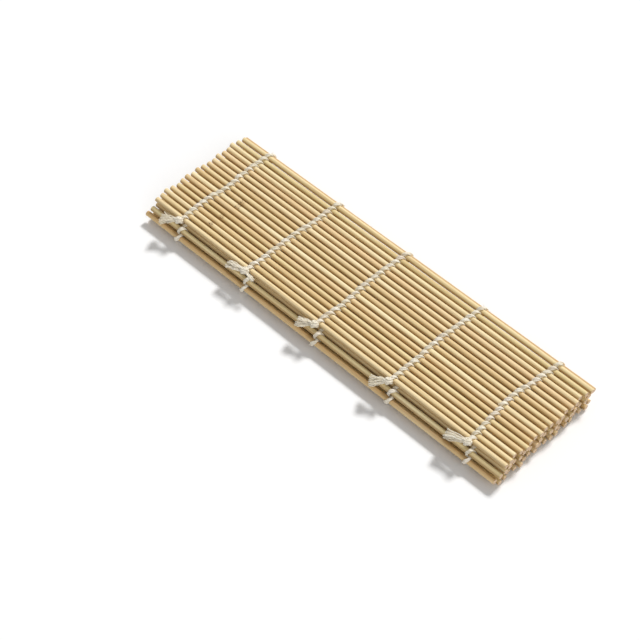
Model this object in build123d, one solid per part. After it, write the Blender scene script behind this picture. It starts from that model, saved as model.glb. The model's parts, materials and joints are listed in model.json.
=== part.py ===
from build123d import *
import math
import os

# A bamboo mat for rolling sushi, folded flat in three layers. It is one chain of round sticks, side by
# side, held by rows of cotton twine that twines round each stick in turn, so every gap between two
# sticks is a hinge. X runs across the sticks, Y along them and Z up. The bottom layer lies on the table,
# the chain folds up and over at the left (-X), back at the right (+X), and ends on top near the left.

# Driving sizes, in millimetres
stick_diameter = 2.9
stick_length = 240.0
stick_edge = 0.2  # the worn edge at a sawn end
end_stagger = 0.9  # how far the most uneven stick stands out of line
twine_diameter = 0.62
twine_stick_gap = 0.05  # free on each side of the twine where it passes between two sticks
strand_gap = 1.1  # between a row's two strands, where they pass between two sticks side by side
layer_gap = 0.32  # between a layer's twine and the sticks that it rests on
fold_gap = 0.08  # between the outermost stick of a fold and its neighbours' twine
row_inset = 20.0  # from the sticks' ends to the outermost rows
row_shift = 1.0  # the middle row lies this far from the middle of the sticks
knot_diameter = 3.2
knot_gap = 0.08
knot_collar = 0.9  # thickness of the turn of twine round the knot's neck
tassel_neck = 1.8
tassel_end = 3.4
tassel_length = 10.5
cut_room = 5.0  # how far the cut under the twine reaches past it

# Counts, angles in degrees, shares of the sizes above, and what differs from row to row
bottom_count = 19
middle_count = 19
top_count = 18
row_count = 5
roll_angle = 15.0  # how far the twine lets two sticks of the top layer bend, as round a thin roll of rice
knot_rise = 30.0  # above the last stick's middle, as an angle round it
tassel_turns = (-8.0, -33.0, -20.0, -6.0, -28.0)  # from +Y, outwards, one for each row
tassel_droops = (10.0, 12.0, 12.0, 9.0, 10.0)
tassel_length_shares = (1.15, 0.8, 0.85, 1.1, 1.15)
row_wanders = (3.9, 3.7, 4.0, 4.1, 5.6)  # in millimetres, how far the rows drift across the middle layer
row_bends = (
    (-0.3, 1.3, 3.2, 1.9, 0.1),
    (-1.0, 0.2, 1.0, 0.0, 0.6),
    (-0.2, 0.9, 0.4, -0.6, 0.3),
    (-1.2, -1.7, -0.6, -0.9, -0.5),
    (-1.0, -0.9, -2.3, -0.8, -1.9),
)  # in millimetres, how far each row strays along Y at five places, from the fold to the top layer's free end
stagger_shares = (0.3, -0.6, 1.0, -0.2, 0.5, -1.0, 0.1, -0.4, 0.8, -0.8, 0.0, 0.6, -0.5)
stagger_step = 5  # neighbours take shares this far apart in the list, so that no pattern shows
flat_share = 0.1  # of the twine's diameter, cut off where the mat rests on it
fold_step_share = 0.55  # of the twine's diameter: how far a row steps aside at each hinge of a fold

# Sizes that follow
stick_radius = stick_diameter / 2
twine_radius = twine_diameter / 2
pitch = stick_diameter + twine_diameter + 2 * twine_stick_gap
half_pitch = pitch / 2
row_spacing = (stick_length - 2 * row_inset) / (row_count - 1)
crossing = (twine_diameter + strand_gap) / 2  # from a row's line to a strand in a gap, along the sticks
turn_radius = math.hypot(half_pitch, crossing)
twine_reach = turn_radius + twine_radius  # from a stick's axis to the outside of its twine
bottom_height = twine_reach - flat_share * twine_diameter
layer_rise = stick_radius + twine_reach + layer_gap

# A fold is one stick between two hinges, each bent by about a right angle. The hinges stand off the
# sticks' middle plane, on the inside of the bend, so that the sticks keep clear of each other's twine.
# The turns of twine pass each other there because the rows step aside along Y.
fold_step = fold_step_share * twine_diameter
fold_twine_reach = math.sqrt(turn_radius**2 - crossing**2 / 2) + twine_radius
fold_distance = stick_radius + fold_twine_reach + fold_gap
fold_hinge_height = fold_distance / math.sqrt(2) - half_pitch
fold_rise = pitch + 2 * fold_hinge_height
roll_hinge_height = half_pitch * math.tan(math.radians(roll_angle / 4))


def layer_slope(count_to_contact):
    """How far a layer tilts when it starts one fold up and comes to rest that many sticks further on."""
    fall = fold_rise - layer_rise
    return math.degrees(math.asin(fall / ((count_to_contact + 0.5) * pitch)))


left_bend = 90 + layer_slope(bottom_count - 1) / 2
right_bend = 90 + layer_slope(top_count - 1) / 2


def turned(x, z, turn):
    """An offset in the chain's own frame, for a stick that is turned this far about Y."""
    return Vector(x, 0, z).rotate(Axis.Y, turn)


class Stick:
    """A stick's place in the chain. Its own +X points back along the chain and its own +Z is the mat's face."""

    def __init__(self, layer, number, at, turn):
        self.layer = layer
        self.number = number
        self.at = at
        self.turn = turn

    def place(self, along=0):
        return Location((self.at.X, along, self.at.Z), (0, self.turn, 0))


def next_in_chain(stick, layer, number, hinge_height=0, bend=0):
    """The next stick, and the hinge between the two: a point on the twine that joins them."""
    hinge = stick.at + turned(-half_pitch, hinge_height, stick.turn)
    turn = stick.turn + bend
    at = hinge + turned(-half_pitch, -hinge_height, turn)
    return Stick(layer, number, at, turn), hinge


def build_chain(start_x):
    """All the sticks in order, from the bottom layer's free end to the top layer's, and the hinges by name."""
    sticks = [Stick("bottom", 1, Vector(start_x, 0, bottom_height), 0)]
    hinges = {}

    def add(layer, number, hinge_name=None, hinge_height=0, bend=0):
        stick, hinge = next_in_chain(sticks[-1], layer, number, hinge_height, bend)
        sticks.append(stick)
        if hinge_name:
            hinges[hinge_name] = hinge

    for number in range(2, bottom_count + 1):
        add("bottom", number)
    add("left_fold", 1, "left_fold_lower", fold_hinge_height, left_bend)
    add("middle", 1, "left_fold_upper", fold_hinge_height, left_bend)
    for number in range(2, middle_count + 1):
        add("middle", number)
    add("right_fold", 1, "right_fold_lower", -fold_hinge_height, -right_bend)
    add("top", 1, "right_fold_upper", -fold_hinge_height, -right_bend)
    for number in range(2, top_count + 1):
        add("top", number)
        hinges[f"top_hinge_{number - 1:02d}"] = sticks[-2].at + turned(
            -half_pitch, roll_hinge_height, sticks[-2].turn
        )
    return sticks, hinges


def centred_chain():
    """The chain with the two folds as far left of X zero as right of it."""
    sticks, hinges = build_chain(0)
    folds = [stick.at.X for stick in sticks if stick.layer.endswith("fold")]
    return build_chain(-sum(folds) / len(folds))


sticks, hinges = centred_chain()


def layer_sticks(layer):
    return [stick for stick in sticks if stick.layer == layer]


# Sticks


def stagger(stick):
    """How far the stick lies along Y from an even edge."""
    place = sticks.index(stick) * stagger_step % len(stagger_shares)
    return end_stagger * stagger_shares[place]


def stick_solid(stick):
    rod = Cylinder(stick_radius, stick_length, rotation=(90, 0, 0))
    rod = chamfer(rod.edges().filter_by(GeomType.CIRCLE), stick_edge)
    return stick.place(stagger(stick)) * rod


# Twine


def row_line(row):
    """The straight line that a row of twine keeps near, as a place along Y."""
    return row_shift + row_spacing * (row - (row_count - 1) / 2)


def row_bend(row, share):
    """How far a row strays from its line, at a share of the way from the fold to the top layer's free end."""
    bends = row_bends[row]
    place = share * (len(bends) - 1)
    before = min(int(place), len(bends) - 2)
    ease = (1 - math.cos(math.pi * (place - before))) / 2
    return bends[before] + (bends[before + 1] - bends[before]) * ease


def row_place(row, stick, gap):
    """Where a row runs along Y at a gap: 0 is the one before the stick and 1 the one after."""
    steps = {"bottom": 4, "left_fold": 3, "middle": 2, "right_fold": 1, "top": 0}
    wandered = {"middle": 1 - (stick.number - 1 + gap) / middle_count, "right_fold": 0, "top": 0}
    share = wandered.get(stick.layer, 1)
    across = (stick.number - 1) / (top_count - 1) if stick.layer == "top" else 0
    drift = row_bend(row, across) * (1 - share) - row_wanders[row] * share
    return row_line(row) + fold_step * steps[stick.layer] + drift


def half_turn(start, end, side):
    """Half a turn of twine from start to end, two points of a gap's middle plane, over a stick or under it."""
    chord = end - start
    middle = start + chord / 2
    plane = Plane(origin=middle, x_dir=chord, z_dir=chord.cross(Vector(0, 0, side)))
    arc = Torus(chord.length / 2, twine_radius, major_angle=180, align=None)
    return plane * arc


def layer_twine(layer, row):
    """A layer's twine in one row: two strands that pass over and under by turns, closed at both ends."""
    members = layer_sticks(layer)
    first = members[0]
    turns = []
    for number, stick in enumerate(members):
        x_before = half_pitch - number * pitch
        x_after = x_before - pitch
        y_before = row_place(row, stick, 0)
        y_after = row_place(row, stick, 1)
        over_start = Vector(x_before, y_before - crossing, 0)
        over_end = Vector(x_after, y_after + crossing, 0)
        under_start = over_start if stick is members[0] else Vector(x_before, y_before + crossing, 0)
        under_end = over_end if stick is members[-1] else Vector(x_after, y_after - crossing, 0)
        turns.append(half_turn(over_start, over_end, 1))
        turns.append(half_turn(under_start, under_end, -1))
    strand = turns[0].fuse(*turns[1:])
    return first.place() * strand


def stick_twine(stick, row):
    """One turn of twine round one stick, slanting as the strands do from gap to gap."""
    before = Vector(half_pitch, -crossing, 0)
    plane = Plane(origin=(0, 0, 0), x_dir=before, z_dir=before.cross(Vector(0, 0, 1)))
    ring = plane * Torus(turn_radius, twine_radius)
    return stick.place(row_place(row, stick, 1)) * ring


def rest_cut():
    """The room under the table's face, which the bottom layer's twine is pressed flat against."""
    width = bottom_count * pitch + 2 * cut_room
    middle_x = (layer_sticks("bottom")[0].at.X + layer_sticks("bottom")[-1].at.X) / 2
    block = Box(width, stick_length, cut_room, align=(Align.CENTER, Align.CENTER, Align.MAX))
    return Pos(middle_x, 0, 0) * block


# End knots


def end_knot(row):
    """An overhand knot beside the last stick, with its collar and its frayed tassel."""
    last = sticks[-1]
    knot_radius = knot_diameter / 2
    away = twine_reach + knot_gap + knot_radius
    rise = math.radians(knot_rise)
    centre = Vector(-away * math.cos(rise), 0, away * math.sin(rise))
    length = tassel_length * tassel_length_shares[row]
    turn = math.radians(tassel_turns[row])
    droop = math.radians(tassel_droops[row])
    along = Vector(
        math.sin(turn) * math.cos(droop),
        math.cos(turn) * math.cos(droop),
        -math.sin(droop),
    )
    knot = Pos(centre.X, centre.Y, centre.Z) * Sphere(knot_radius)
    collar_place = Plane(origin=centre + along * knot_radius, z_dir=along)
    collar = collar_place * Torus(tassel_neck / 2, knot_collar / 2)
    tassel_place = Plane(origin=centre, z_dir=along)
    tassel = tassel_place * Cone(
        tassel_neck / 2,
        tassel_end / 2,
        length,
        align=(Align.CENTER, Align.CENTER, Align.MIN),
    )
    return last.place(row_place(row, last, 1)) * (knot + collar + tassel)


# Nodes, each a list of separate solids under its own name

nodes = {}
nodes["bottom_sticks"] = [stick_solid(stick) for stick in layer_sticks("bottom")]
nodes["middle_sticks"] = [stick_solid(stick) for stick in layer_sticks("middle")]
under = rest_cut()
for row in range(row_count):
    nodes[f"bottom_twine_row_{row + 1}"] = [layer_twine("bottom", row) - under]
    nodes[f"middle_twine_row_{row + 1}"] = [layer_twine("middle", row)]
    nodes[f"end_knot_{row + 1}"] = [end_knot(row)]
for stick in layer_sticks("left_fold") + layer_sticks("right_fold"):
    nodes[f"{stick.layer}_stick"] = [stick_solid(stick)]
    nodes[f"{stick.layer}_twine"] = [stick_twine(stick, row) for row in range(row_count)]
for stick in layer_sticks("top"):
    nodes[f"top_stick_{stick.number:02d}"] = [stick_solid(stick)]
    nodes[f"top_twine_{stick.number:02d}"] = [stick_twine(stick, row) for row in range(row_count)]

os.makedirs("parts", exist_ok=True)
for name, solids in nodes.items():
    export_step(Compound(children=solids), f"parts/{name}.step")

width = max(stick.at.X for stick in sticks) - min(stick.at.X for stick in sticks)
print("pitch", round(pitch, 3), "open size across", round(pitch * len(sticks), 1))
print("fold bends", round(left_bend, 3), round(right_bend, 3), "rises", round(fold_rise, 2))
print("width between the folds' sticks", round(width, 2), "layer rise", round(layer_rise, 2))
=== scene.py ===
import json
import math
import random

import bpy
import numpy as np
from mathutils import Matrix, Vector

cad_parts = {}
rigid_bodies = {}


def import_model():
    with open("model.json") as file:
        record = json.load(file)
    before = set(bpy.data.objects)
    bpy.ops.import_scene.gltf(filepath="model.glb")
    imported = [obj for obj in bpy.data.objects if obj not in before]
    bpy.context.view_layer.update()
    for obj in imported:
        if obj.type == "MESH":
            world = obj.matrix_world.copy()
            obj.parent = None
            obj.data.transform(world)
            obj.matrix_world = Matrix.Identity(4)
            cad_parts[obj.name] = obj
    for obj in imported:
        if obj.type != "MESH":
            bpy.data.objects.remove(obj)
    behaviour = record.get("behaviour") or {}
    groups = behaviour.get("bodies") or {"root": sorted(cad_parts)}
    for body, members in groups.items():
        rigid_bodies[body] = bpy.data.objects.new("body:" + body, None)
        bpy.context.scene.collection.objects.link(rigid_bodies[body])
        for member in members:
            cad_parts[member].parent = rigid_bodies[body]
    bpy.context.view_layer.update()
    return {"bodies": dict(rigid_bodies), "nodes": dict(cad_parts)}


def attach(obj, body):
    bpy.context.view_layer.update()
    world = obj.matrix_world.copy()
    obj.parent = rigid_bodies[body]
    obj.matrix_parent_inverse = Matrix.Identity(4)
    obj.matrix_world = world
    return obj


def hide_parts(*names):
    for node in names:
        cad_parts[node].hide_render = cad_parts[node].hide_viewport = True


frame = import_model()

# A bamboo sushi mat, folded flat in three layers, dressed over its CAD frame. The sticks, their turns
# and the rows of twine are read from the frame, so each piece lies where its solids lie. Lengths in the
# names in capitals are in millimetres unless they say otherwise.

MM = 0.001
dice = random.Random(7)
ANY_PHASE = 6.28  # radians, a whole turn
ROW_COUNT = 5
ROW_BREAK = 10.0  # more than a row is wide, and less than the rows are apart
AXIS_REACH = 1.05  # radii, within which a layer's points belong to a stick


# Camera: the photograph's view, level, with its aim off the origin by so much across and up the picture

VIEW_AZIMUTH = -45.15
VIEW_ELEVATION = 50.23
VIEW_DISTANCE = 932.5
VIEW_AIM = (-20.8, -6.3)
VIEW_FOCAL_PIXELS = 1863.7
VIEW_PIXELS = 640
SENSOR = 36.0


def add_camera():
    azimuth = math.radians(VIEW_AZIMUTH)
    elevation = math.radians(VIEW_ELEVATION)
    back = Vector((
        math.sin(azimuth) * math.cos(elevation),
        -math.cos(azimuth) * math.cos(elevation),
        math.sin(elevation),
    ))
    right = Vector((math.cos(azimuth), math.sin(azimuth), 0))
    up = back.cross(right)
    data = bpy.data.cameras.new("camera")
    data.sensor_width = SENSOR
    data.lens = VIEW_FOCAL_PIXELS / VIEW_PIXELS * SENSOR
    data.clip_start = 0.01
    data.clip_end = 100
    camera = bpy.data.objects.new("camera", data)
    aim = right * VIEW_AIM[0] * MM + up * VIEW_AIM[1] * MM
    turn = Matrix((right, up, back)).transposed().to_4x4()
    camera.matrix_world = Matrix.Translation(aim + back * VIEW_DISTANCE * MM) @ turn
    bpy.context.scene.collection.objects.link(camera)
    bpy.context.scene.camera = camera


add_camera()


# Places, read from the frame


def node_points(name):
    """A node's vertices, in millimetres."""
    mesh = frame["nodes"][name].data
    points = np.empty(len(mesh.vertices) * 3)
    mesh.vertices.foreach_get("co", points)
    return points.reshape(-1, 3) / MM


def moving_node(body, kind):
    """The node of a body's single stick, or of its twine."""
    if body.startswith("top_"):
        return body.replace("top_", f"top_{kind}_")
    return f"{body}_{kind}"


class Rod:
    """One stick of the chain: its axis, its ends, and the turn of its own frame about Y.

    Its own +X points back along the chain and its own +Z is the mat's face, as in the CAD.
    """

    def __init__(self, body, points):
        low, high = points.min(0), points.max(0)
        self.body = body
        self.x = (low[0] + high[0]) / 2
        self.z = (low[2] + high[2]) / 2
        self.ends = (low[1], high[1])
        self.turn = 0.0
        self.rows = []

    def to_world(self, own):
        """Points given in the rod's own X and Z, with their place along Y, as places in the frame."""
        cos, sin = math.cos(self.turn), math.sin(self.turn)
        x = self.x + own[..., 0] * cos + own[..., 2] * sin
        z = self.z - own[..., 0] * sin + own[..., 2] * cos
        return np.stack([x, own[..., 1], z], -1)


def layer_rods(body, node, radius, pitch, direction):
    """The sticks of a rigid layer, which one node holds, in the chain's order."""
    points = node_points(node)
    low, high = points.min(0), points.max(0)
    count = round((high[0] - low[0] - 2 * radius) / pitch) + 1
    places = np.linspace(low[0] + radius, high[0] - radius, count)[::direction]
    return [Rod(body, points[np.abs(points[:, 0] - x) < radius * AXIS_REACH]) for x in places]


def layer_turn(rods):
    """The turn of a flat layer's sticks, from its first and last."""
    back_x = rods[0].x - rods[-1].x
    back_z = rods[0].z - rods[-1].z
    turn = math.atan2(-back_z, back_x)
    return turn if turn > -math.pi / 2 else turn + 2 * math.pi


def ring_rows(node):
    """The lines of the rows of twine at a stick that moves by itself, from its rings."""
    along = np.sort(node_points(node)[:, 1])
    groups = np.split(along, np.nonzero(np.diff(along) > ROW_BREAK)[0] + 1)
    return [(group[0] + group[-1]) / 2 for group in groups]


def read_chain():
    """The sticks in the chain's order with their rows, their radius, and how far apart they are."""
    count = sum(body.startswith("top_") for body in frame["bodies"])
    top = [Rod(f"top_{n:02d}", node_points(f"top_stick_{n:02d}")) for n in range(1, count + 1)]
    first = node_points("top_stick_01")
    radius = (first[:, 2].max() - first[:, 2].min()) / 2
    pitch = math.hypot(top[0].x - top[1].x, top[0].z - top[1].z)
    bottom = layer_rods("bottom_layer", "bottom_sticks", radius, pitch, -1)
    middle = layer_rods("middle_layer", "middle_sticks", radius, pitch, 1)
    left = Rod("left_fold", node_points("left_fold_stick"))
    right = Rod("right_fold", node_points("right_fold_stick"))
    for layer in (bottom, middle, top):
        for rod in layer:
            rod.turn = layer_turn(layer)
    left.turn = (bottom[0].turn + middle[0].turn) / 2
    right.turn = (middle[0].turn + top[0].turn) / 2

    for rod in top + [left, right]:
        rod.rows = [(y, y) for y in ring_rows(moving_node(rod.body, "twine"))]
    half_row = top[0].rows[0][0] - node_points("top_twine_01")[:, 1].min()
    for row in range(ROW_COUNT):
        twine = node_points(f"bottom_twine_row_{row + 1}")[:, 1]
        line = (twine.min() + twine.max()) / 2
        for rod in bottom:
            rod.rows.append((line, line))
        twine = node_points(f"middle_twine_row_{row + 1}")[:, 1]
        lines = np.linspace(twine.min() + half_row, twine.max() - half_row, len(middle) + 1)
        for rod, before, after in zip(middle, lines, lines[1:]):
            rod.rows.append((before, after))
    return bottom + [left] + middle + [right] + top, radius, pitch


chain, STICK_RADIUS, PITCH = read_chain()
HALF_PITCH = PITCH / 2


# Mesh building

# The direction in which the frames carried along a path start; no path runs along it
FRAME_HINT = (0.1, 0.2, 1)


class Shape:
    """Gathers lofted tubes and makes one piece of them.

    The materials read two attributes. Look holds tone, hue, a number of the stick's or strand's own, and
    how far the point is on a cut. Grain holds three numbers whose meaning each material gives.
    """

    def __init__(self):
        self.points = []
        self.looks = []
        self.grains = []
        self.faces = []
        self.count = 0

    def loft(self, rings, look, grain):
        """Adds a tube through rings of points, closed at both ends.

        Along the tube T, a ring's points turn from A to B where A x B = T.
        """
        rows, sides = rings.shape[:2]
        index = self.count + np.arange(rows * sides).reshape(rows, sides)
        near, far = index[:-1], index[1:]
        quads = np.stack([near, np.roll(near, -1, 1), np.roll(far, -1, 1), far], -1)
        self.faces += quads.reshape(-1, 4).tolist()
        self.faces += [index[0][::-1].tolist(), index[-1].tolist()]
        self.points.append(rings.reshape(-1, 3))
        look = np.broadcast_to(np.asarray(look, float), (rows, sides, 4))
        self.looks.append(look.reshape(-1, 4))
        grain = np.broadcast_to(np.asarray(grain, float), (rows, sides, 3))
        self.grains.append(grain.reshape(-1, 3))
        self.count += rows * sides

    def piece(self, name, material, body, slot, nodes):
        mesh = bpy.data.meshes.new(name)
        points = np.concatenate(self.points)
        points[:, 2] = np.maximum(points[:, 2], 0.0)
        mesh.from_pydata((points * MM).tolist(), [], self.faces)
        mesh.polygons.foreach_set("use_smooth", [True] * len(self.faces))
        look = mesh.attributes.new("look", "FLOAT_COLOR", "POINT")
        look.data.foreach_set("color", np.concatenate(self.looks).ravel())
        grain = mesh.attributes.new("grain", "FLOAT_VECTOR", "POINT")
        grain.data.foreach_set("vector", np.concatenate(self.grains).ravel())
        mesh.materials.append(material)
        mesh.update()
        piece = bpy.data.objects.new(name, mesh)
        bpy.context.scene.collection.objects.link(piece)
        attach(piece, body)
        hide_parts(*nodes)


def smooth_path(corners, per_run):
    """Points on a Catmull-Rom curve through the corners."""
    corners = np.asarray(corners, float)
    padded = np.vstack([2 * corners[0] - corners[1], corners, 2 * corners[-1] - corners[-2]])
    path = []
    for a, b, c, d in zip(padded, padded[1:], padded[2:], padded[3:]):
        second = 2 * a - 5 * b + 4 * c - d
        third = 3 * b - a - 3 * c + d
        for t in np.arange(per_run) / per_run:
            path.append(0.5 * (2 * b + (c - a) * t + second * t**2 + third * t**3))
    path.append(corners[-1])
    return np.array(path)


def path_frames(path):
    """Two directions across a path, carried along it so that they don't spin."""
    tangent = np.gradient(path, axis=0)
    tangent /= np.linalg.norm(tangent, axis=1)[:, None]
    out = np.empty_like(path)
    current = np.asarray(FRAME_HINT, float)
    for i, t in enumerate(tangent):
        current = current - t * (current @ t)
        current /= np.linalg.norm(current)
        out[i] = current
    across = np.cross(out, tangent)
    return across, out


# Materials. A stick's or strand's own number moves its noise by so many metres, or steps of its grain.

OWN_SHIFT = (0.31, 0.17, 0.23)
OWN_GRAIN_SHIFT = (31.0, 17.0, 23.0)


def linear(red, green, blue):
    """A colour given as in the photograph, 0 to 255, as the shader wants it."""
    levels = [level / 255 for level in (red, green, blue)]
    parts = [v / 12.92 if v <= 0.04045 else ((v + 0.055) / 1.055) ** 2.4 for v in levels]
    return (*parts, 1.0)


class Shader:
    """A material's node tree, with short calls for the nodes used here."""

    def __init__(self, name):
        self.material = bpy.data.materials.new(name)
        self.material.use_nodes = True
        self.tree = self.material.node_tree
        self.tree.nodes.clear()
        self.main = self.node("ShaderNodeBsdfPrincipled")
        output = self.node("ShaderNodeOutputMaterial")
        self.tree.links.new(self.main.outputs[0], output.inputs["Surface"])

    def node(self, kind, **settings):
        node = self.tree.nodes.new(kind)
        for key, value in settings.items():
            setattr(node, key, value)
        return node

    def put(self, socket, value):
        if isinstance(value, bpy.types.NodeSocket):
            self.tree.links.new(value, socket)
        else:
            socket.default_value = value

    def math(self, operation, *values, clamp=False):
        node = self.node("ShaderNodeMath", operation=operation, use_clamp=clamp)
        for socket, value in zip(node.inputs, values):
            self.put(socket, value)
        return node.outputs[0]

    def vector(self, operation, *values):
        node = self.node("ShaderNodeVectorMath", operation=operation)
        for socket, value in zip(node.inputs, values):
            self.put(socket, value)
        return node.outputs[0]

    def blend(self, share, first, second):
        node = self.node("ShaderNodeMix", data_type="RGBA")
        self.put(node.inputs["Factor"], share)
        self.put(node.inputs[6], first)
        self.put(node.inputs[7], second)
        return node.outputs[2]

    def ramp(self, value, low, high):
        """Nought below low, one above high, smooth between."""
        node = self.node("ShaderNodeMapRange", interpolation_type="SMOOTHSTEP")
        self.put(node.inputs["Value"], value)
        self.put(node.inputs["From Min"], low)
        self.put(node.inputs["From Max"], high)
        return node.outputs["Result"]

    def noise(self, places, scale, detail=3.0, roughness=0.55):
        """Noise whose scale differs along the axes, in features a metre."""
        node = self.node("ShaderNodeTexNoise")
        self.put(node.inputs["Vector"], self.vector("MULTIPLY", places, scale))
        node.inputs["Scale"].default_value = 1.0
        node.inputs["Detail"].default_value = detail
        node.inputs["Roughness"].default_value = roughness
        return node.outputs["Fac"]

    def bump(self, height, distance, strength):
        node = self.node("ShaderNodeBump")
        node.inputs["Strength"].default_value = strength
        node.inputs["Distance"].default_value = distance * MM
        self.put(node.inputs["Height"], height)
        return node.outputs["Normal"]

    def moved(self, places, number, reach):
        """The places, moved by a number of its own for each stick or strand."""
        away = self.vector("SCALE", reach)
        self.put(away.node.inputs["Scale"], number)
        return self.vector("ADD", places, away)

    def look(self):
        """Tone, hue, the stick's or strand's own number, and how far a point is on a cut."""
        look = self.node("ShaderNodeAttribute", attribute_name="look")
        parts = self.node("ShaderNodeSeparateColor")
        self.put(parts.inputs[0], look.outputs["Color"])
        return parts.outputs[0], parts.outputs[1], parts.outputs[2], look.outputs["Alpha"]


def bamboo_material():
    """Grain holds the place of a joint of the cane, and how far a point faces the next stick, which sets the
    painted shade between sticks.
    """
    s = Shader("bamboo")
    tone, hue, own, cut = s.look()
    here = s.node("ShaderNodeTexCoord").outputs["Object"]
    moved = s.moved(here, own, OWN_SHIFT)
    grain = s.node("ShaderNodeSeparateXYZ")
    s.put(grain.inputs[0], s.node("ShaderNodeAttribute", attribute_name="grain").outputs["Vector"])
    fibre = s.noise(moved, (2600, 45, 2600), 5, 0.6)
    streak = s.noise(moved, (800, 9, 800), 2, 0.5)
    patch = s.noise(moved, (90, 22, 90), 2, 0.5)
    pores = s.noise(moved, (5200, 260, 5200), 3, 0.6)

    body = s.blend(tone, linear(246, 227, 180), linear(227, 198, 142))
    body = s.blend(s.math("MULTIPLY", hue, 0.6, clamp=True), body, linear(232, 192, 146))
    body = s.blend(s.math("MULTIPLY", hue, -0.5, clamp=True), body, linear(222, 206, 146))
    body = s.blend(s.math("MULTIPLY", s.ramp(streak, 0.45, 0.72), 0.45), body, linear(210, 174, 114))
    body = s.blend(s.math("MULTIPLY", s.ramp(patch, 0.5, 0.75), 0.35), body, linear(248, 233, 192))
    lines = s.math("MULTIPLY", s.ramp(fibre, 0.52, 0.72), 0.38)
    body = s.blend(lines, body, linear(180, 138, 80))
    flecks = s.math("MULTIPLY", s.ramp(pores, 0.66, 0.74), 0.3)
    body = s.blend(flecks, body, linear(118, 84, 46))

    # Painted shade: the sides that face the next stick are darkened, standing in for the shade in the gaps
    # between sticks
    side = s.math("MULTIPLY", s.ramp(grain.outputs[1], 0.6, 1.0), 0.6)
    body = s.blend(side, body, linear(158, 114, 52))

    # A joint of the cane crosses some sticks: a faint ring with dark flecks
    along = s.node("ShaderNodeSeparateXYZ")
    s.put(along.inputs[0], here)
    away = s.math("ABSOLUTE", s.math("SUBTRACT", along.outputs[1], grain.outputs[0]))
    near = s.math("SUBTRACT", 1.0, s.ramp(away, 0.5 * MM, 2.4 * MM))
    spots = s.noise(moved, (1500, 1500, 1500), 3, 0.6)
    body = s.blend(s.math("MULTIPLY", near, 0.3), body, linear(190, 150, 98))
    body = s.blend(s.math("MULTIPLY", near, s.ramp(spots, 0.56, 0.62)), body, linear(66, 44, 24))

    # The sawn ends: brown, with the pores of the cane as dots
    dots = s.node("ShaderNodeTexVoronoi")
    s.put(dots.inputs["Vector"], s.vector("MULTIPLY", moved, (2600, 500, 2600)))
    dots.inputs["Scale"].default_value = 1.0
    ends = s.blend(s.ramp(dots.outputs["Distance"], 0.16, 0.42), linear(128, 92, 62), linear(222, 192, 158))
    body = s.blend(cut, body, ends)

    s.put(s.main.inputs["Base Color"], body)
    rough = s.node("ShaderNodeMapRange")
    s.put(rough.inputs["Value"], fibre)
    rough.inputs["To Min"].default_value = 0.4
    rough.inputs["To Max"].default_value = 0.66
    s.put(s.main.inputs["Roughness"], rough.outputs["Result"])
    s.main.inputs["Specular IOR Level"].default_value = 0.45
    s.put(s.main.inputs["Normal"], s.bump(s.math("ADD", fibre, pores), 0.06, 0.6))
    return s.material


def twine_material():
    """Grain runs round a ply and along it, turned with the ply's own twist, so noise in it makes fibres."""
    s = Shader("twine")
    tone, hue, own, _ = s.look()
    moved = s.moved(s.node("ShaderNodeTexCoord").outputs["Object"], own, OWN_SHIFT)
    grain = s.node("ShaderNodeAttribute", attribute_name="grain").outputs["Vector"]
    fibres = s.noise(s.moved(grain, own, OWN_GRAIN_SHIFT), (2.4, 2.4, 0.7), 4, 0.6)
    hairs = s.noise(moved, (9000, 5000, 9000), 3, 0.65)
    patch = s.noise(moved, (160, 160, 160), 2, 0.5)
    body = s.blend(tone, linear(252, 246, 231), linear(241, 231, 207))
    body = s.blend(s.math("MULTIPLY", hue, 0.5, clamp=True), body, linear(238, 220, 206))
    body = s.blend(s.math("MULTIPLY", s.ramp(fibres, 0.44, 0.7), 0.42), body, linear(218, 203, 170))
    body = s.blend(s.math("MULTIPLY", s.ramp(patch, 0.5, 0.8), 0.3), body, linear(234, 223, 194))
    s.put(s.main.inputs["Base Color"], body)
    s.main.inputs["Roughness"].default_value = 0.9
    s.main.inputs["Specular IOR Level"].default_value = 0.2
    s.main.inputs["Sheen Weight"].default_value = 0.25
    s.put(s.main.inputs["Normal"], s.bump(s.math("ADD", fibres, s.math("MULTIPLY", hairs, 0.5)), 0.16, 0.9))
    return s.material


def floor_material():
    s = Shader("floor")
    here = s.node("ShaderNodeTexCoord").outputs["Object"]
    grain = s.noise(here, (60, 60, 60), 2)
    s.put(s.main.inputs["Base Color"], s.blend(grain, (0.955, 0.955, 0.955, 1), (0.965, 0.965, 0.965, 1)))
    s.main.inputs["Roughness"].default_value = 0.9
    s.main.inputs["Specular IOR Level"].default_value = 0.1
    return s.material


bamboo = bamboo_material()
twine = twine_material()


# Sticks

STICK_SIDES = 20
STICK_RINGS = 56
# Shares of the radius in the CAD: a stick's size, its swelling along its length and its shape across
STICK_SIZES = (0.94, 1.015)
STICK_SWELL = 0.022
STICK_OVAL = 0.02
STICK_THREE_SIDED = 0.015
SWELL_LENGTH = 35
STICK_BOW = 0.13
BOW_LENGTH = 90
BOW_UPWARD_SHARE = 0.6
WAVE_COUNT = 3
WAVE_LENGTHS = (0.8, 1.3)
# Middle and spread of what is drawn for the look
STICK_TONE = (0.45, 0.33)
STICK_HUE = (0.08, 0.38)
# A sawn end: how long it is, how steeply it leans at most, and how rough it is
END_REACH = 1.2
END_TILT = 0.07
END_ROUGH = 0.03
# Its rings: share of the radius, distance from the end, and how far the ring is on the cut
CUT_RINGS = (
    (0.12, 0.0, 1),
    (0.5, 0.0, 1),
    (0.84, 0.0, 1),
    (0.95, 0.05, 0.8),
    (0.99, 0.16, 0),
    (1.0, 0.45, 0),
)
# Where the cane's joints show, as places along Y. More are drawn at random, and NO_MARK is off every stick.
SEEN_MARKS = {"top_10": 85.5, "top_11": 85.0, "top_14": 85.6, "top_16": 86.0}
MARK_CHANCE = 0.12
MARK_REACH = 110
NO_MARK = 9000.0


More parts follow.
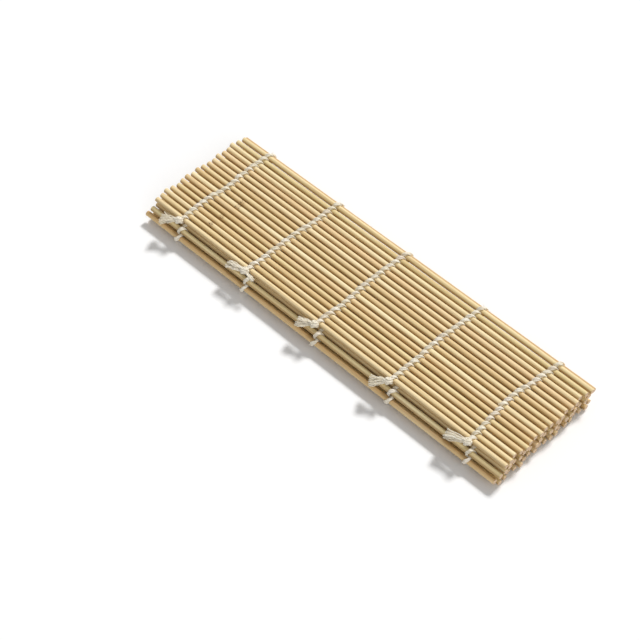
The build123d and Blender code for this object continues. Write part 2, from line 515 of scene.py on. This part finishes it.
def waves(places, swing, shortest):
    """A smooth random wander along the places."""
    total = np.zeros_like(places)
    for n in range(WAVE_COUNT):
        length = shortest * (WAVE_COUNT - n) * dice.uniform(*WAVE_LENGTHS)
        wave = np.sin(2 * np.pi * places / length + dice.uniform(0, ANY_PHASE))
        total += swing / WAVE_COUNT * wave * (WAVE_COUNT - n) / 2
    return total


def add_stick(shape, rod, mark):
    """A slightly bowed, uneven rod with sawn ends; mark is where a joint of the cane crosses it."""
    low, high = rod.ends
    radius = STICK_RADIUS * dice.uniform(*STICK_SIZES)
    inner = np.linspace(low + END_REACH, high - END_REACH, STICK_RINGS)
    start = [(low + inset, size, cut) for size, inset, cut in CUT_RINGS]
    finish = [(high - inset, size, cut) for size, inset, cut in reversed(CUT_RINGS)]
    rings = start + [(y, 1.0, 0.0) for y in inner] + finish
    along, sizes, cuts = np.array(list(zip(*rings)), float)
    angle = np.arange(STICK_SIDES) / STICK_SIDES * 2 * np.pi
    swell = 1 + waves(along, STICK_SWELL, SWELL_LENGTH)
    oval = 1 + dice.uniform(0, STICK_OVAL) * np.cos(2 * angle + dice.uniform(0, ANY_PHASE))
    oval += dice.uniform(0, STICK_THREE_SIDED) * np.cos(3 * angle + dice.uniform(0, ANY_PHASE))
    reach = radius * (sizes * swell)[:, None] * oval[None, :]
    x = reach * np.sin(angle)
    z = reach * np.cos(angle)
    into_end = np.abs(along - (low + high) / 2) - (high - low) / 2 + END_REACH
    end_share = np.clip(into_end / END_REACH, 0, 1)[:, None]
    tilt_x, tilt_z = [
        np.where(along < 0, dice.uniform(-END_TILT, END_TILT), dice.uniform(-END_TILT, END_TILT))[:, None]
        for _ in "xz"
    ]
    y = along[:, None] + end_share * (tilt_x * x + tilt_z * z)
    rough = np.array([[dice.uniform(-END_ROUGH, END_ROUGH) for _ in angle] for _ in along])
    y = y + rough * (cuts > 0.5)[:, None]
    x = x + rod.x + waves(along, STICK_BOW, BOW_LENGTH)[:, None]
    z = z + rod.z + waves(along, STICK_BOW * BOW_UPWARD_SHARE, BOW_LENGTH)[:, None]
    look = np.empty(x.shape + (4,))
    look[..., 0] = min(max(dice.gauss(*STICK_TONE), 0), 1)
    look[..., 1] = dice.gauss(*STICK_HUE)
    look[..., 2] = dice.random()
    look[..., 3] = cuts[:, None]
    grain = np.zeros(x.shape + (3,))
    grain[..., 0] = mark * MM
    # How far a point faces the next stick, which sets the painted shade between sticks in the bamboo
    # material
    grain[..., 1] = np.abs(np.sin(angle - rod.turn))
    shape.loft(np.stack([x, y, z], -1), look, grain)


def add_all_sticks():
    nodes = {"bottom_layer": "bottom_sticks", "middle_layer": "middle_sticks"}
    for body in frame["bodies"]:
        shape = Shape()
        for rod in chain:
            if rod.body == body:
                marked = dice.random() < MARK_CHANCE
                random_mark = dice.uniform(-MARK_REACH, MARK_REACH) if marked else NO_MARK
                add_stick(shape, rod, SEEN_MARKS.get(body, random_mark))
        node = nodes.get(body, moving_node(body, "stick"))
        shape.piece(f"{body}_bamboo", bamboo, body, "bamboo", [node])


add_all_sticks()


# Twine: in every row each stick has one strand over it and one under it, and the strands change places
# in the gaps. Angles are in degrees round the stick, 0 at the gap before it and 180 at the gap after it.

# From a row's line to a strand in a gap, and a strand's half sizes along the stick and away from it
STRAND_CROSSING = 1.12
GAP_HALF_WIDE = 0.86
GAP_HALF_THICK = 0.36
CREST_HALF_WIDE = 1.1
OUTER_HALF_THICK = 0.64
INNER_HALF_THICK = 0.5
# Plies: how far from the strand's middle and how large, as shares of its half sizes
PLY_COUNT = 3
PLY_OFFSET = 0.5
PLY_SIZE = 0.56
PLY_SIZES = (0.92, 1.12)
PLY_SIDES = 8
PLY_GRAIN = 7.0
# Twists in radians: of the fibres in a millimetre, of the plies from gap to gap, and where a strand starts
FIBRE_TWIST = 1.5
TWIST_PER_GAP = 0.8 * 2 * math.pi
ROW_PHASE = 1.3
SIDE_PHASE = 0.4
# A strand's steps, and the degrees past a plain sweep for which it has one more
STRAND_STEPS = 15
PLAIN_SWEEP = 190
STEP_SWEEP = 15
# How far a strand goes past a gap's middle, and the way on which it rises there, in degrees
END_OVERLAP = 5.0
ROLL_OVERLAP = 9.0
FOLD_OUTSIDE = 44.0
FOLD_INSIDE = -24.0
GAP_EASE = 20
# Where the last stick's strands leave for the knot, in degrees, and their distance there from the row's line
KNOT_ANGLE = 150.0
KNOT_SPREAD = 0.35
# Differences between gaps and between strands, as shares or in millimetres, and the look's middle and spread
GAP_SHIFT = 0.22
GAP_SPREAD = (0.82, 1.12)
STRAND_WIDE = (0.88, 1.12)
STRAND_THICK = (0.86, 1.08)
STRAND_SHIFT = 0.2
STRAND_TONE = (0.45, 0.3)
STRAND_HUE = (0.1, 0.3)
# Threads: points on each run between corners, and a hair's start in the strand, size, bend and shape
THREAD_RUN = 2
HAIRS_PER_STRAND = 5
HAIR_ROOT = 0.6
HAIR_LEAN = 0.3
HAIR_LENGTHS = (0.9, 1.7)
HAIR_BEND = 0.4
HAIR_RADII = (0.04, 0.06)
HAIR_TAPER = 0.4
HAIR_SIDES = 3


def unit(vector):
    vector = np.asarray(vector, float)
    return vector / np.linalg.norm(vector)


def length_along(path):
    return np.concatenate([[0], np.cumsum(np.linalg.norm(np.diff(path, axis=0), axis=1))])


def fibre_grain(spin, along):
    """Places round a ply and along it, turned with the twist of its fibres."""
    fibre = spin[None, :] + FIBRE_TWIST * along
    return np.stack([np.cos(fibre), np.sin(fibre), along + 0 * fibre], -1)


def add_plies(shape, centre, across, out, half_wide, half_thick, phase, look):
    """A strand of twisted plies along a centre line, oval across it."""
    steps = len(centre)
    wide = np.broadcast_to(half_wide, steps)[:, None]
    thick = np.broadcast_to(half_thick, steps)[:, None]
    spin = np.arange(PLY_SIDES) / PLY_SIDES * 2 * np.pi
    grain = fibre_grain(spin, length_along(centre)[:, None])
    for ply in range(PLY_COUNT):
        theta = (phase + 2 * np.pi * ply / PLY_COUNT)[:, None]
        alpha = theta + spin[None, :]
        size = PLY_SIZE * dice.uniform(*PLY_SIZES)
        a = wide * (PLY_OFFSET * np.cos(theta) + size * np.cos(alpha))
        b = thick * (PLY_OFFSET * np.sin(theta) + size * np.sin(alpha))
        rings = centre[:, None, :] + a[..., None] * across[:, None, :] + b[..., None] * out[:, None, :]
        shape.loft(rings, look, grain + (0, 0, PLY_GRAIN * ply))


def add_thread(shape, corners, radius, look, taper, sides):
    """A thin round thread through the corners, thinner towards its end."""
    path = smooth_path(corners, THREAD_RUN)
    across, out = path_frames(path)
    spin = np.arange(sides) / sides * 2 * np.pi
    size = radius * np.linspace(1, taper, len(path))
    rings = path[:, None, :] + size[:, None, None] * (
        np.cos(spin)[None, :, None] * across[:, None, :] + np.sin(spin)[None, :, None] * out[:, None, :]
    )
    shape.loft(rings, look, fibre_grain(spin, length_along(path)[:, None]))


def add_hairs(shape, centre, out, half_thick, look):
    """Fine fibres that stand out of a strand."""
    for _ in range(HAIRS_PER_STRAND):
        at = dice.randrange(2, len(centre) - 2)
        lean = np.array([dice.uniform(-1, 1) for _ in "xyz"])
        away = unit(out[at] + lean)
        start = centre[at] + out[at] * half_thick * HAIR_ROOT + lean * HAIR_LEAN
        length = dice.uniform(*HAIR_LENGTHS)
        bend = np.array([dice.uniform(-HAIR_BEND, HAIR_BEND) for _ in "xyz"])
        corners = [start, start + away * length * 0.5, start + (away + bend) * length]
        add_thread(shape, corners, dice.uniform(*HAIR_RADII), look, HAIR_TAPER, HAIR_SIDES)


def gap_reach(before, after):
    """How far the over and the under strand go past a gap's middle, which depends on how it bends."""
    if before is None or after is None:
        return END_OVERLAP, END_OVERLAP
    if "left_fold" in (before.body, after.body):
        return FOLD_INSIDE, FOLD_OUTSIDE
    if "right_fold" in (before.body, after.body):
        return FOLD_OUTSIDE, FOLD_INSIDE
    if before.body != after.body:
        return END_OVERLAP, ROLL_OVERLAP
    return END_OVERLAP, END_OVERLAP


def crest_share(fraction):
    """How far a strand has risen from a gap, at 0 or 1, to its crest in between."""
    return np.sin(np.clip(fraction, 0, 1) * np.pi) ** 2


def is_outside(index, side):
    """Whether the strand on this side of the stick lies free, on top of the mat or outside a fold."""
    body = chain[index].body
    if body.startswith("top_") or body == "right_fold":
        return side == 1
    return side == -1 and (body == "left_fold" or chain[index - 1].body == "left_fold")


def add_strand(shape, index, row, side, wander):
    """The strand over one stick (side 1) or under it (side -1) in one row."""
    rod = chain[index]
    before = chain[index - 1] if index else None
    after = chain[index + 1] if index + 1 < len(chain) else None
    which = 0 if side > 0 else 1
    start = -gap_reach(before, rod)[which]
    end = 180 + gap_reach(rod, after)[which]
    if after is None:
        end = KNOT_ANGLE if side > 0 else 360 - KNOT_ANGLE
    more_steps = int(max(0, end - start - PLAIN_SWEEP) / STEP_SWEEP)
    degrees = np.linspace(start, end, STRAND_STEPS + 1 + more_steps)
    angle = np.radians(degrees)
    crest = crest_share(degrees / 180)
    over_gap = np.clip(np.maximum(-degrees, degrees - 180) / GAP_EASE, 0, 1)
    own = wander["strand", row, index, side]
    outside = is_outside(index, side)
    crest_thick = (OUTER_HALF_THICK if outside else INNER_HALF_THICK) * own["thick"]
    half_wide = GAP_HALF_WIDE + (CREST_HALF_WIDE * own["wide"] - GAP_HALF_WIDE) * crest
    half_thick = GAP_HALF_THICK + (crest_thick - GAP_HALF_THICK) * np.maximum(crest, 0.5 * over_gap)
    reach = HALF_PITCH + (STICK_RADIUS + half_thick - HALF_PITCH) * np.maximum(crest, over_gap)
    x = reach * np.cos(angle)
    z = reach * np.sin(angle) * side

    line_before, line_after = rod.rows[row]
    spread_before, spread_after = 0, KNOT_SPREAD
    if before is not None:
        gap = wander["gap", row, index]
        line_before = (line_before + before.rows[row][1]) / 2 + gap["shift"]
        spread_before = STRAND_CROSSING * gap["spread"]
    if after is not None:
        gap = wander["gap", row, index + 1]
        line_after = (line_after + after.rows[row][0]) / 2 + gap["shift"]
        spread_after = STRAND_CROSSING * gap["spread"]
    swing = (1 - np.cos(np.clip(angle, 0, np.pi))) / 2
    y_start = line_before - side * spread_before
    y_end = line_after + side * spread_after
    y = y_start + (y_end - y_start) * swing + own["shift"] * crest

    centre = rod.to_world(np.stack([x, y, z], -1))
    radial = rod.to_world(np.stack([np.cos(angle), 0 * y, np.sin(angle) * side], -1))
    radial -= np.array([rod.x, 0, rod.z])
    tangent = np.gradient(centre, axis=0)
    tangent /= np.linalg.norm(tangent, axis=1)[:, None]
    out = radial - tangent * (radial * tangent).sum(1)[:, None]
    out /= np.linalg.norm(out, axis=1)[:, None]
    across = np.cross(out, tangent)
    phase = TWIST_PER_GAP * (index + degrees / 180) + row * ROW_PHASE + side * SIDE_PHASE
    look = (own["tone"], own["hue"], own["number"], 0.0)
    add_plies(shape, centre, across, out, half_wide, half_thick, phase, look)
    if outside:
        add_hairs(shape, centre, out, crest_thick, look)


def strand_wander():
    """Small differences between the gaps and between the strands, drawn in one fixed order."""
    wander = {}
    for row in range(ROW_COUNT):
        for index in range(len(chain) + 1):
            wander["gap", row, index] = dict(
                shift=dice.uniform(-GAP_SHIFT, GAP_SHIFT),
                spread=dice.uniform(*GAP_SPREAD),
            )
        for index in range(len(chain)):
            for side in (1, -1):
                wander["strand", row, index, side] = dict(
                    wide=dice.uniform(*STRAND_WIDE),
                    thick=dice.uniform(*STRAND_THICK),
                    shift=dice.uniform(-STRAND_SHIFT, STRAND_SHIFT),
                    tone=min(max(dice.gauss(*STRAND_TONE), 0), 1),
                    hue=dice.gauss(*STRAND_HUE),
                    number=dice.random(),
                )
    return wander


def add_all_twine():
    wander = strand_wander()
    for body in frame["bodies"]:
        is_layer = body.endswith("_layer")
        groups = [[row] for row in range(ROW_COUNT)] if is_layer else [range(ROW_COUNT)]
        for rows in groups:
            shape = Shape()
            for index, rod in enumerate(chain):
                if rod.body != body:
                    continue
                for row in rows:
                    add_strand(shape, index, row, 1, wander)
                    add_strand(shape, index, row, -1, wander)
            if is_layer:
                node = body.replace("layer", f"twine_row_{rows[0] + 1}")
                shape.piece(f"{node}_cord", twine, body, "twine", [node])
            else:
                shape.piece(f"{body}_cord", twine, body, "twine", [moving_node(body, "twine")])


add_all_twine()


# End knots: both strands of a row go through an overhand knot beside the last stick and fray

# From the last stick's middle to the knot's, the radius of the knot's turns, and how far they swing about it
KNOT_AWAY = 3.9
KNOT_RING = 1.12
KNOT_TUBE = 0.58
# The strands: half size, half the distance between them, twist in radians a millimetre, and second's start
KNOT_CORD = 0.86
KNOT_SIDE = 0.42
KNOT_TWIST = 1.2
KNOT_SECOND_PHASE = 0.9
# The turns start and end this far round, in radians, and have so many corners and points between them
KNOT_OPEN = 0.32
KNOT_CORNERS = 22
KNOT_RUN = 3
# The tassel's neck: half its width, and its height as a share of that
NECK_HALF = 1.1
NECK_HEIGHT_SHARE = 0.8
# Yarns: radii, taper and sides, places of the corners, shortest and longest, crimps, tone, hue
YARN_RADII = (0.27, 0.37)
FINE_RADII = (0.06, 0.1)
YARN_TAPER = 0.8
YARN_SIDES = 5
YARN_CORNERS = (0.0, 0.16, 0.34, 0.52, 0.7, 0.86, 1.0)
YARN_LENGTHS = (0.84, 1.0)
YARN_CRIMPS = 9
YARN_TONE = (0.0, 1.6)
YARN_HUE = (0.05, 0.25)
# A second, short tail: its way, where it starts, half width, half height, waviness and lateness, yarns, neck
TAIL_WAY = (-0.12, -1.0, -0.16)
TAIL_START = 1.2
TAIL_SPREAD = (1.2, 0.9, 0.25, 1.0)
TAIL_YARNS = 13
TAIL_RADII = (0.27, 0.36)
TAIL_NECK = 0.6
# Turn from +Y outwards and droop, both in degrees, length, half width and half height at the end, yarns,
# fine threads, waviness, how late the yarns spread, and the length of the second tail
TASSELS = (
    dict(
        turn=-12, droop=12, length=10.8, wide=3.1, high=1.6,
        yarns=34, fine=40, wave=0.35, late=0.7, tail=0,
    ),
    dict(
        turn=-38, droop=13, length=8.2, wide=4.0, high=1.3,
        yarns=30, fine=40, wave=0.5, late=0.75, tail=0,
    ),
    dict(
        turn=-22, droop=13, length=8.2, wide=3.3, high=1.3,
        yarns=28, fine=36, wave=0.45, late=0.8, tail=0,
    ),
    dict(
        turn=-6, droop=10, length=9.8, wide=2.4, high=1.4,
        yarns=24, fine=34, wave=0.4, late=0.8, tail=6.5,
    ),
    dict(
        turn=-25, droop=11, length=8.6, wide=4.4, high=1.6,
        yarns=36, fine=46, wave=0.45, late=1.3, tail=0,
    ),
)


def add_cord(shape, corners, phase, look):
    """One of the knot's strands."""
    path = smooth_path(corners, KNOT_RUN)
    across, out = path_frames(path)
    add_plies(shape, path, across, out, KNOT_CORD, KNOT_CORD, phase + length_along(path) * KNOT_TWIST, look)


def add_yarns(shape, start, axes, length, wide, high, wave, late, count, radii, neck=NECK_HALF):
    """Loose yarns or threads from a neck, spreading towards their cut ends."""
    forward, outward, upward = axes
    for _ in range(count):
        bearing = dice.uniform(0, 2 * math.pi)
        place = math.sqrt(dice.random())
        side_way = math.cos(bearing) * place
        high_way = math.sin(bearing) * place
        own_length = length * dice.uniform(*YARN_LENGTHS)
        crimp = dice.uniform(0, ANY_PHASE)
        corners = []
        for share in YARN_CORNERS:
            half_wide = neck + (wide - neck) * share**late
            half_high = neck * NECK_HEIGHT_SHARE + (high - neck * NECK_HEIGHT_SHARE) * share**late
            swing = wave * min(1, 2 * share) * math.sin(crimp + YARN_CRIMPS * share)
            aside = side_way * half_wide + swing + dice.uniform(-wave, wave) * 0.4 * share
            above = high_way * half_high + dice.uniform(-wave, wave) * 0.6 * share
            corners.append(start + forward * (own_length * share) + outward * aside + upward * above)
        look = (dice.uniform(*YARN_TONE), dice.gauss(*YARN_HUE), dice.random(), 0.0)
        add_thread(shape, corners, dice.uniform(*radii), look, YARN_TAPER, YARN_SIDES)


def add_knot(row, tassel):
    shape = Shape()
    last = chain[-1]
    line = last.rows[row][1]
    angle = math.radians(KNOT_ANGLE)
    away = np.array([math.cos(angle), 0, math.sin(angle)])
    centre = np.array([last.x, line, last.z]) + away * KNOT_AWAY
    turn, droop = math.radians(tassel["turn"]), math.radians(tassel["droop"])
    forward = unit((math.sin(turn) * math.cos(droop), math.cos(turn) * math.cos(droop), -math.sin(droop)))
    outward = unit(away - forward * (away @ forward))
    upward = np.cross(forward, outward)
    if upward[2] < 0:
        upward = -upward
    knot_axes = np.array([forward, outward, upward])

    def knot_place(t):
        ring = KNOT_RING + KNOT_TUBE * math.cos(3 * t)
        own = np.array([ring * math.cos(2 * t), ring * math.sin(2 * t), KNOT_TUBE * math.sin(3 * t)])
        return centre + own @ knot_axes

    turns = [knot_place(t) for t in np.linspace(KNOT_OPEN, 2 * math.pi - KNOT_OPEN, KNOT_CORNERS)]
    for shift, phase in ((-KNOT_SIDE, 0.0), (KNOT_SIDE, KNOT_SECOND_PHASE)):
        lift = upward * shift
        # Corners from the last stick into the knot, and from the knot into the tassel
        entry = [
            np.array([last.x, line + shift, last.z]) + away * (STICK_RADIUS + 0.45),
            centre - outward * 1.5 + forward * (0.75 + shift) + lift,
            centre - outward * 0.8 + forward * (1.3 + shift * 0.5) + lift,
        ]
        leave = [
            centre + forward * 1.6 + outward * (0.1 + shift * 0.7) + lift,
            centre + forward * 2.6 + outward * shift * 1.2 + lift * 0.6,
        ]
        corners = entry + [place + lift * 0.8 for place in turns] + leave
        look = (dice.uniform(0.2, 0.6), 0.1, dice.random(), 0.0)
        add_cord(shape, corners, phase, look)

    spread = [tassel[key] for key in ("length", "wide", "high", "wave", "late")]
    start = centre + forward * 1.6
    aside = unit(np.cross((0, 0, 1), forward))
    tassel_axes = np.array([forward, aside, np.cross(forward, aside)])
    add_yarns(shape, start, tassel_axes, *spread, tassel["yarns"], YARN_RADII)
    add_yarns(shape, start, tassel_axes, *spread, tassel["fine"], FINE_RADII)
    if tassel["tail"]:
        back = unit(TAIL_WAY)
        side = unit(np.cross(back, (0, 0, 1)))
        tail_axes = np.array([back, side, np.cross(side, back)])
        start = centre + back * TAIL_START
        spread = [tassel["tail"], *TAIL_SPREAD]
        add_yarns(shape, start, tail_axes, *spread, TAIL_YARNS, TAIL_RADII, TAIL_NECK)
    shape.piece(f"knot_{row + 1}", twine, last.body, "twine", [f"end_knot_{row + 1}"])


for row, tassel in enumerate(TASSELS):
    add_knot(row, tassel)


# Floor, light and world. The floor's reach is in metres.

FLOOR_REACH = 12.0
WORLD_LIGHT = 0.36


def add_floor():
    mesh = bpy.data.meshes.new("floor")
    corners = [(x * FLOOR_REACH, y * FLOOR_REACH, 0) for x, y in ((-1, -1), (1, -1), (1, 1), (-1, 1))]
    mesh.from_pydata(corners, [], [(0, 1, 2, 3)])
    mesh.materials.append(floor_material())
    floor = bpy.data.objects.new("floor", mesh)
    bpy.context.scene.collection.objects.link(floor)


def add_sun(name, towards, strength, spread):
    """A sun that stands in the given direction, with its spread in degrees."""
    data = bpy.data.lights.new(name, "SUN")
    data.energy = strength
    data.angle = math.radians(spread)
    lamp = bpy.data.objects.new(name, data)
    lamp.rotation_euler = Vector(towards).to_track_quat("Z", "Y").to_euler()
    bpy.context.scene.collection.objects.link(lamp)


def add_world():
    """White where it is seen, directly or in a gloss, and dimmer as light."""
    world = bpy.data.worlds.new("studio")
    world.use_nodes = True
    tree = world.node_tree
    tree.nodes.clear()
    seen = tree.nodes.new("ShaderNodeBackground")
    seen.inputs["Color"].default_value = (1, 1, 1, 1)
    seen.inputs["Strength"].default_value = 1.0
    light = tree.nodes.new("ShaderNodeBackground")
    light.inputs["Color"].default_value = (1, 1, 1, 1)
    light.inputs["Strength"].default_value = WORLD_LIGHT
    rays = tree.nodes.new("ShaderNodeLightPath")
    shown = rays.outputs["Is Camera Ray"]
    for kind in ("Is Glossy Ray", "Is Transmission Ray"):
        either = tree.nodes.new("ShaderNodeMath")
        either.operation = "MAXIMUM"
        tree.links.new(shown, either.inputs[0])
        tree.links.new(rays.outputs[kind], either.inputs[1])
        shown = either.outputs[0]
    mix = tree.nodes.new("ShaderNodeMixShader")
    output = tree.nodes.new("ShaderNodeOutputWorld")
    tree.links.new(shown, mix.inputs[0])
    tree.links.new(light.outputs[0], mix.inputs[1])
    tree.links.new(seen.outputs[0], mix.inputs[2])
    tree.links.new(mix.outputs[0], output.inputs["Surface"])
    bpy.context.scene.world = world


add_floor()
add_sun("key", (0.66, 0.07, 0.75), 2.6, 12)
add_sun("fill", (-0.3, -0.8, 0.52), 0.55, 50)
add_world()
bpy.context.scene.view_settings.view_transform = "Standard"
